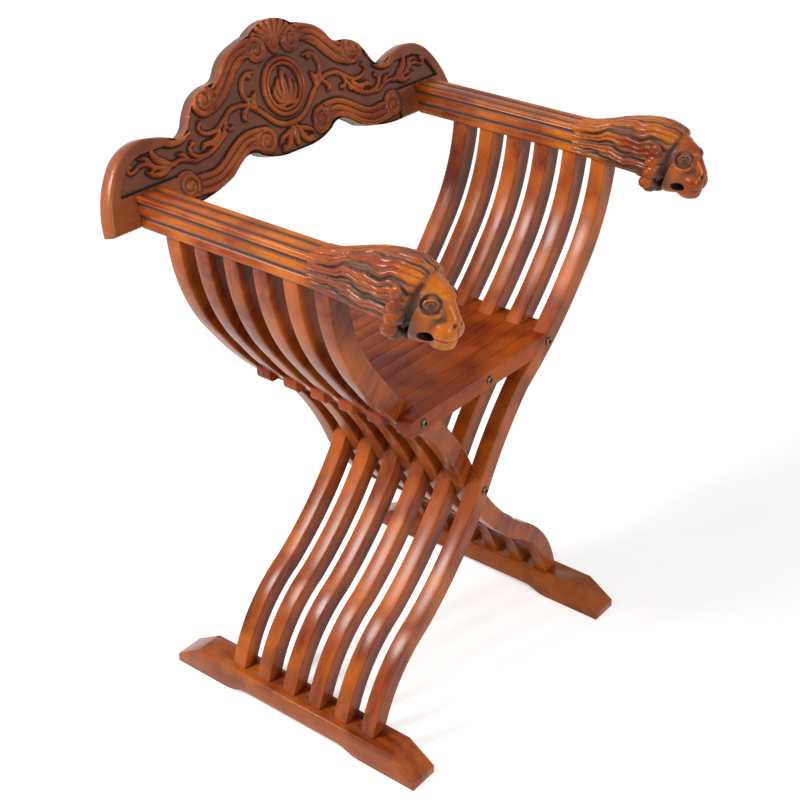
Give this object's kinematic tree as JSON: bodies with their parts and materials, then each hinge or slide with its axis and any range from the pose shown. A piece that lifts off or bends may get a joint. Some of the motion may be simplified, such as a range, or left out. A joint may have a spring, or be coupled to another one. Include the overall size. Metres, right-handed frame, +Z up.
{
  "type": "folding armchair",
  "caption": "Folding armchair of interlaced S-shaped ribs with a slatted seat, carved arms ending in lion heads and a carved lift-off back panel.",
  "frame": {"origin": "on the floor, under the middle of the chair's bounding box", "axes": "+X to the viewer's right when facing the chair's front, -Y out of the chair's front, +Z up"},
  "size_m": [0.66, 0.5162, 0.865],
  "materials": {
    "frame_wood": "glossy red-brown lacquer",
    "arm_wood": "glossy red-brown lacquer over carving",
    "carved_wood": "lacquered carving with a dark stained ground",
    "seat_wood": "glossy red-brown lacquer",
    "rod_steel": "dark bronzed steel"
  },
  "bodies": {
    "right_frame": {"left_runner": "frame_wood", "right_armrest": "arm_wood", "right_arm_rib_1": "frame_wood", "right_arm_rib_2": "frame_wood", "right_arm_rib_3": "frame_wood", "right_arm_rib_4": "frame_wood", "right_arm_rib_5": "frame_wood", "right_arm_rib_6": "frame_wood", "main_pivot_rod": "rod_steel", "right_seat_rod": "rod_steel", "frame_rod_washers": "rod_steel", "frame_rod_nuts": "rod_steel"},
    "left_frame": {"right_runner": "frame_wood", "left_armrest": "arm_wood", "left_arm_rib_1": "frame_wood", "left_arm_rib_2": "frame_wood", "left_arm_rib_3": "frame_wood", "left_arm_rib_4": "frame_wood", "left_arm_rib_5": "frame_wood", "left_arm_rib_6": "frame_wood", "left_seat_rod": "rod_steel", "left_seat_rod_washer": "rod_steel", "left_seat_rod_nut": "rod_steel"},
    "left_seat": {"seat_board_left_1": "seat_wood", "seat_board_left_2": "seat_wood", "seat_board_left_3": "seat_wood", "seat_board_left_4": "seat_wood", "seat_board_left_5": "seat_wood", "seat_board_left_6": "seat_wood", "centre_seat_rod": "rod_steel", "centre_seat_rod_washer": "rod_steel", "centre_seat_rod_nut": "rod_steel"},
    "right_seat": {"seat_board_right_1": "seat_wood", "seat_board_right_2": "seat_wood", "seat_board_right_3": "seat_wood", "seat_board_right_4": "seat_wood", "seat_board_right_5": "seat_wood", "seat_board_right_6": "seat_wood"},
    "backrest": {"back_panel": "carved_wood"}
  },
  "joints": [
    {"name": "frame_fold", "type": "hinge", "parent": "right_frame", "child": "left_frame", "pos_m": [0, 0, 0.301], "axis": [0, 1, 0], "range_deg": [0, 52]},
    {"name": "left_seat_fold", "type": "hinge", "parent": "left_frame", "child": "left_seat", "pos_m": [-0.137, 0, 0.4675], "axis": [0, 1, 0], "range_deg": [-100, 0]},
    {"name": "right_seat_fold", "type": "hinge", "parent": "left_seat", "child": "right_seat", "pos_m": [0, 0, 0.4675], "axis": [0, 1, 0], "range_deg": [0, 140]},
    {"name": "backrest_lift", "type": "slide", "parent": "right_frame", "child": "backrest", "axis": [0, 0.3057, 0.9521], "range_m": [0, 0.06]}
  ],
  "couplings": [
    {"joint": "left_seat_fold", "follows": "frame_fold", "ratio": -1.8179},
    {"joint": "right_seat_fold", "follows": "frame_fold", "ratio": 2.6357}
  ]
}
